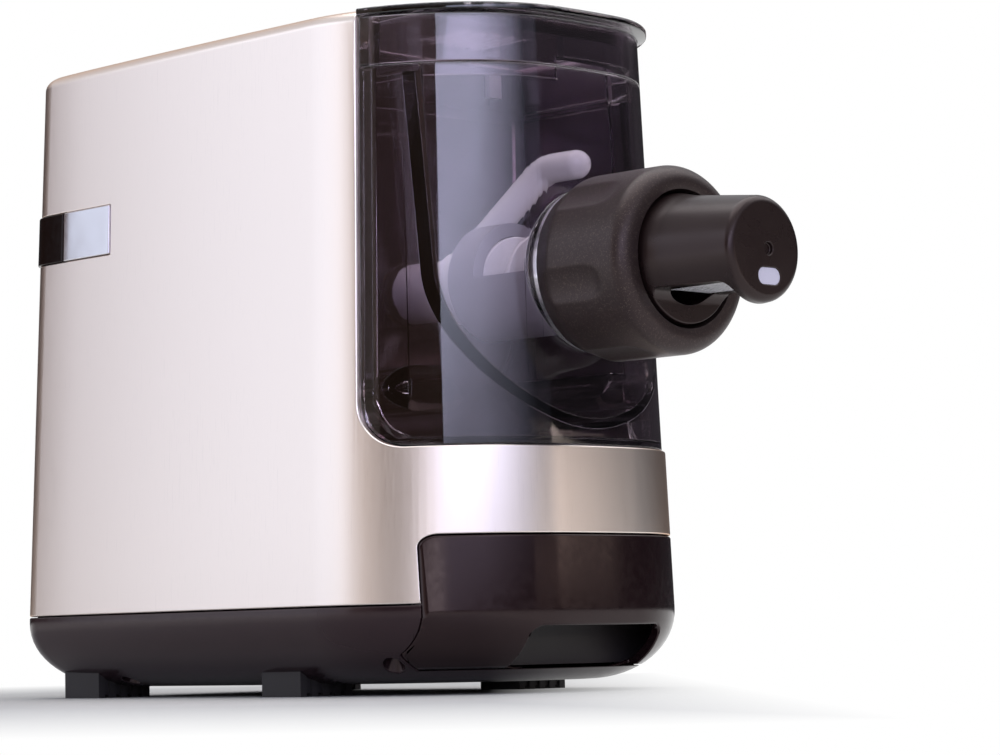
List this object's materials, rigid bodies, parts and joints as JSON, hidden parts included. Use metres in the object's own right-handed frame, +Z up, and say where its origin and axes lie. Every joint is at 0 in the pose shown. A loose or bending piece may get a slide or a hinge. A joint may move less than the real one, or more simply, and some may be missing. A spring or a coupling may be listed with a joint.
{
  "type": "countertop noodle extruder",
  "caption": "Mains powered countertop noodle extruder with a smoked mixing chamber, a stirring paddle and screw, a lock nut, a side-opening extrusion tube and a drawer.",
  "frame": {"origin": "centre of the footprint at table height, under the middle of the whole length", "axes": "+Z up; the front with the extrusion tube faces -Y; +X is to the right seen from the front"},
  "size_m": [0.1914, 0.3988, 0.2982],
  "materials": {
    "champagne": "satin, fine vertical brushing",
    "base_gloss": "polished dark brown",
    "drawer_gloss": "polished dark brown",
    "foot_rubber": "matt, ribbed",
    "steel": "zinc plated",
    "chrome": "mirror",
    "band_black": "polished black",
    "frame_plastic": "fine matt",
    "tray_plastic": "fine matt",
    "panel_gloss": "polished black",
    "window_clear": "smoked, polished",
    "button_satin": "satin",
    "board_green": "solder mask",
    "component_black": "moulded",
    "aluminium": "die cast",
    "bronze": "sintered",
    "gear_nylon": "moulded",
    "pinion_brass": "hobbed",
    "motor_steel": "pressed",
    "rotor_copper": "wound",
    "smoked_clear": "clear, smoked, polished",
    "white_plastic": "satin",
    "barrel_grey": "satin",
    "seal_rubber": "silicone",
    "nut_brown": "fine spark texture with bronze fleck",
    "tube_brown": "satin",
    "pale_insert": "satin"
  },
  "bodies": {
    "body": {"base_tub": "base_gloss", "foot_rear_left": "foot_rubber", "foot_rear_right": "foot_rubber", "foot_front_left": "foot_rubber", "foot_front_right": "foot_rubber", "foot_screws": "steel", "outer_shell": "champagne", "shell_screws": "steel", "rear_band": "band_black", "band_inserts": "chrome", "inner_frame": "frame_plastic", "drawer_rails": "frame_plastic", "control_panel": "panel_gloss", "display_window": "window_clear", "control_board": "board_green", "button_switches": "component_black", "power_inlet": "component_black", "inlet_pins": "steel", "power_board": "board_green", "heat_sink": "aluminium", "capacitors": "component_black", "interlock_switch": "component_black", "gearbox_plate": "aluminium", "gearbox_cover": "aluminium", "gearbox_screws": "steel", "output_bearings": "bronze", "idler_axle": "steel", "motor_housing": "motor_steel", "motor_screws": "steel"},
    "drawer": {"drawer_front": "drawer_gloss", "drawer_tray": "tray_plastic"},
    "power_button": {"power_button": "button_satin"},
    "start_button": {"start_button": "button_satin"},
    "menu_button_left": {"menu_button_left": "button_satin"},
    "menu_button_right": {"menu_button_right": "button_satin"},
    "output": {"output_shaft": "steel", "output_gear": "gear_nylon"},
    "idler": {"idler_gears": "gear_nylon"},
    "rotor": {"motor_rotor": "rotor_copper", "motor_pinion": "pinion_brass", "cooling_fan": "component_black"},
    "chamber": {"mixing_chamber": "smoked_clear", "shaft_seal": "seal_rubber", "neck_ring": "chrome", "extrusion_barrel": "barrel_grey", "barrel_seal": "seal_rubber", "extrusion_tube": "tube_brown", "die_plate": "white_plastic", "tube_insert": "pale_insert"},
    "lid": {"lid": "smoked_clear", "lid_catch": "component_black", "lid_magnet": "steel"},
    "screw": {"extrusion_screw": "white_plastic", "stirring_paddle": "white_plastic"},
    "nut": {"lock_nut": "nut_brown"}
  },
  "joints": [
    {"name": "drawer_slide", "type": "slide", "parent": "body", "child": "drawer", "axis": [0, -1, 0], "range_m": [0, 0.066]},
    {"name": "power_button_press", "type": "slide", "parent": "body", "child": "power_button", "axis": [0, 0, -1], "range_m": [0, 0.0014], "stiffness_N_per_m": 900},
    {"name": "start_button_press", "type": "slide", "parent": "body", "child": "start_button", "axis": [0, 0, -1], "range_m": [0, 0.0014], "stiffness_N_per_m": 900},
    {"name": "menu_button_left_press", "type": "slide", "parent": "body", "child": "menu_button_left", "axis": [0, 0, -1], "range_m": [0, 0.0014], "stiffness_N_per_m": 900},
    {"name": "menu_button_right_press", "type": "slide", "parent": "body", "child": "menu_button_right", "axis": [0, 0, -1], "range_m": [0, 0.0014], "stiffness_N_per_m": 900},
    {"name": "output_spin", "type": "hinge", "parent": "body", "child": "output", "pos_m": [0, 0, 0.182], "axis": [0, 1, 0], "continuous": true},
    {"name": "idler_spin", "type": "hinge", "parent": "body", "child": "idler", "pos_m": [0.02095, 0, 0.12444], "axis": [0, 1, 0], "continuous": true},
    {"name": "rotor_spin", "type": "hinge", "parent": "body", "child": "rotor", "pos_m": [0, 0, 0.09334], "axis": [0, 1, 0], "continuous": true},
    {"name": "chamber_slide", "type": "slide", "parent": "body", "child": "chamber", "axis": [0, -1, 0], "range_m": [0, 0.13]},
    {"name": "lid_lift", "type": "slide", "parent": "chamber", "child": "lid", "axis": [0, 0, 1], "range_m": [0, 0.05]},
    {"name": "screw_spin", "type": "hinge", "parent": "chamber", "child": "screw", "pos_m": [0, 0, 0.182], "axis": [0, 1, 0], "continuous": true},
    {"name": "nut_turn", "type": "hinge", "parent": "chamber", "child": "nut", "pos_m": [0, 0, 0.182], "axis": [0, -1, 0], "range_deg": [0, 60]}
  ],
  "couplings": [
    {"joint": "idler_spin", "follows": "output_spin", "ratio": -4},
    {"joint": "rotor_spin", "follows": "output_spin", "ratio": 21},
    {"joint": "screw_spin", "follows": "output_spin", "ratio": 1}
  ]
}
